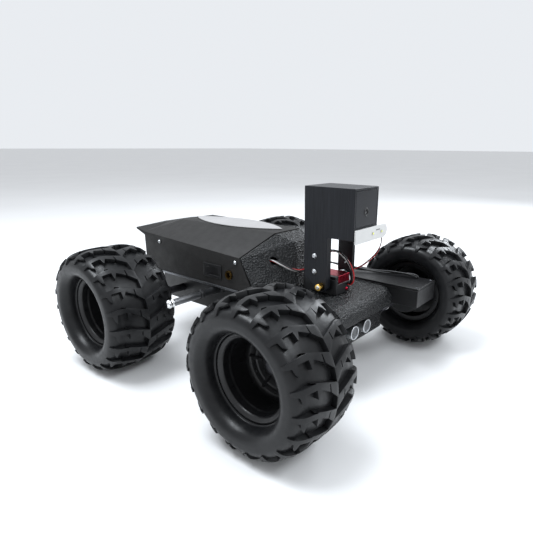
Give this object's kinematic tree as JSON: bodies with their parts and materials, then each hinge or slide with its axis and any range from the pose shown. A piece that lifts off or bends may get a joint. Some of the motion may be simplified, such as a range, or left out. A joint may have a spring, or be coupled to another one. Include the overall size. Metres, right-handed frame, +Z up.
{
  "type": "four wheel rover chassis",
  "caption": "Low rover chassis: large block-tread wheels each driven by a motor in the hub, a covered electronics body, sonar pair, side box and a camera head that tilts on a servo.",
  "frame": {"origin": "on the ground plane, in the middle of the box around the whole rover, midway between the four wheels", "axes": "+Z up, the rover's front faces -Y, its right side is -X, and the wheel axles run along X"},
  "size_m": [0.3926, 0.398, 0.219],
  "materials": {
    "tyre": "satin black rubber",
    "wheel_black": "semi-gloss black moulded plastic",
    "motor_can": "semi-matt black paint",
    "steel": "turned, grey",
    "link_steel": "satin dark grey",
    "frame_black": "satin black powder coat",
    "deck_alloy": "brushed, bare edge",
    "hood_black": "matt black with a fine grain",
    "panel_pale": "smooth gloss, blank",
    "coated_black": "coarse wrinkled coating, semi-gloss",
    "head_black": "satin black with faint upright brushing",
    "plain_black": "satin black",
    "rocker_black": "gloss black",
    "brass": "polished",
    "servo_red": "red anodised",
    "silver": "bright turned",
    "board": "solder mask, semi-gloss",
    "cell_wrap": "shrink wrap",
    "lens": "polished dark glass in a black barrel",
    "wire": "soft insulation"
  },
  "bodies": {
    "chassis": {"hub_motor_front_right": "motor_can", "axle_stub_front_right": "steel", "hub_motor_front_left": "motor_can", "axle_stub_front_left": "steel", "hub_motor_rear_right": "motor_can", "axle_stub_rear_right": "steel", "hub_motor_rear_left": "motor_can", "axle_stub_rear_left": "steel", "torque_link_front_right": "link_steel", "torque_link_front_left": "link_steel", "side_rod_right": "link_steel", "side_rod_left": "link_steel", "chassis_tub": "frame_black", "deck_plate": "deck_alloy", "hood": "hood_black", "hood_panel": "panel_pale", "front_bulkhead": "coated_black", "nose_cover": "coated_black", "switch_frame": "plain_black", "charge_socket": "brass", "battery": "cell_wrap", "controller_board": "board", "motor_driver": "board", "sonar_board": "board", "sonar_eye_right": "silver", "sonar_eye_left": "silver", "side_box": "plain_black", "side_box_lid": "plain_black", "servo_cap": "plain_black", "servo_case": "servo_red", "servo_frame": "frame_black", "pivot_bush": "brass", "servo_lead": "wire", "flat_lead": "wire"},
    "head": {"head_housing": "head_black", "head_front": "head_black", "camera_lens": "lens", "camera_board": "board", "tilt_arm": "frame_black", "servo_horn": "silver", "light_board": "panel_pale", "light_lead": "wire"},
    "switch": {"switch_rocker": "rocker_black"},
    "wheel_front_right": {"tyre_front_right": "tyre", "rim_front_right": "wheel_black", "axle_front_right": "steel", "wheel_nut_front_right": "steel"},
    "wheel_front_left": {"tyre_front_left": "tyre", "rim_front_left": "wheel_black", "axle_front_left": "steel", "wheel_nut_front_left": "steel"},
    "wheel_rear_right": {"tyre_rear_right": "tyre", "rim_rear_right": "wheel_black", "axle_rear_right": "steel", "wheel_nut_rear_right": "steel"},
    "wheel_rear_left": {"tyre_rear_left": "tyre", "rim_rear_left": "wheel_black", "axle_rear_left": "steel", "wheel_nut_rear_left": "steel"}
  },
  "joints": [
    {"name": "wheel_spin_front_right", "type": "hinge", "parent": "chassis", "child": "wheel_front_right", "pos_m": [-0.154, -0.126, 0.073], "axis": [1, 0, 0], "continuous": true},
    {"name": "wheel_spin_front_left", "type": "hinge", "parent": "chassis", "child": "wheel_front_left", "pos_m": [0.154, -0.126, 0.073], "axis": [1, 0, 0], "continuous": true},
    {"name": "wheel_spin_rear_right", "type": "hinge", "parent": "chassis", "child": "wheel_rear_right", "pos_m": [-0.154, 0.126, 0.073], "axis": [1, 0, 0], "continuous": true},
    {"name": "wheel_spin_rear_left", "type": "hinge", "parent": "chassis", "child": "wheel_rear_left", "pos_m": [0.154, 0.126, 0.073], "axis": [1, 0, 0], "continuous": true},
    {"name": "head_tilt", "type": "hinge", "parent": "chassis", "child": "head", "pos_m": [0, -0.088, 0.1095], "axis": [1, 0, 0], "range_deg": [-22, 35]},
    {"name": "power_switch", "type": "hinge", "parent": "chassis", "child": "switch", "pos_m": [-0.066, 0.042, 0.1145], "axis": [0, 0, 1], "range_deg": [-13, 0]}
  ]
}
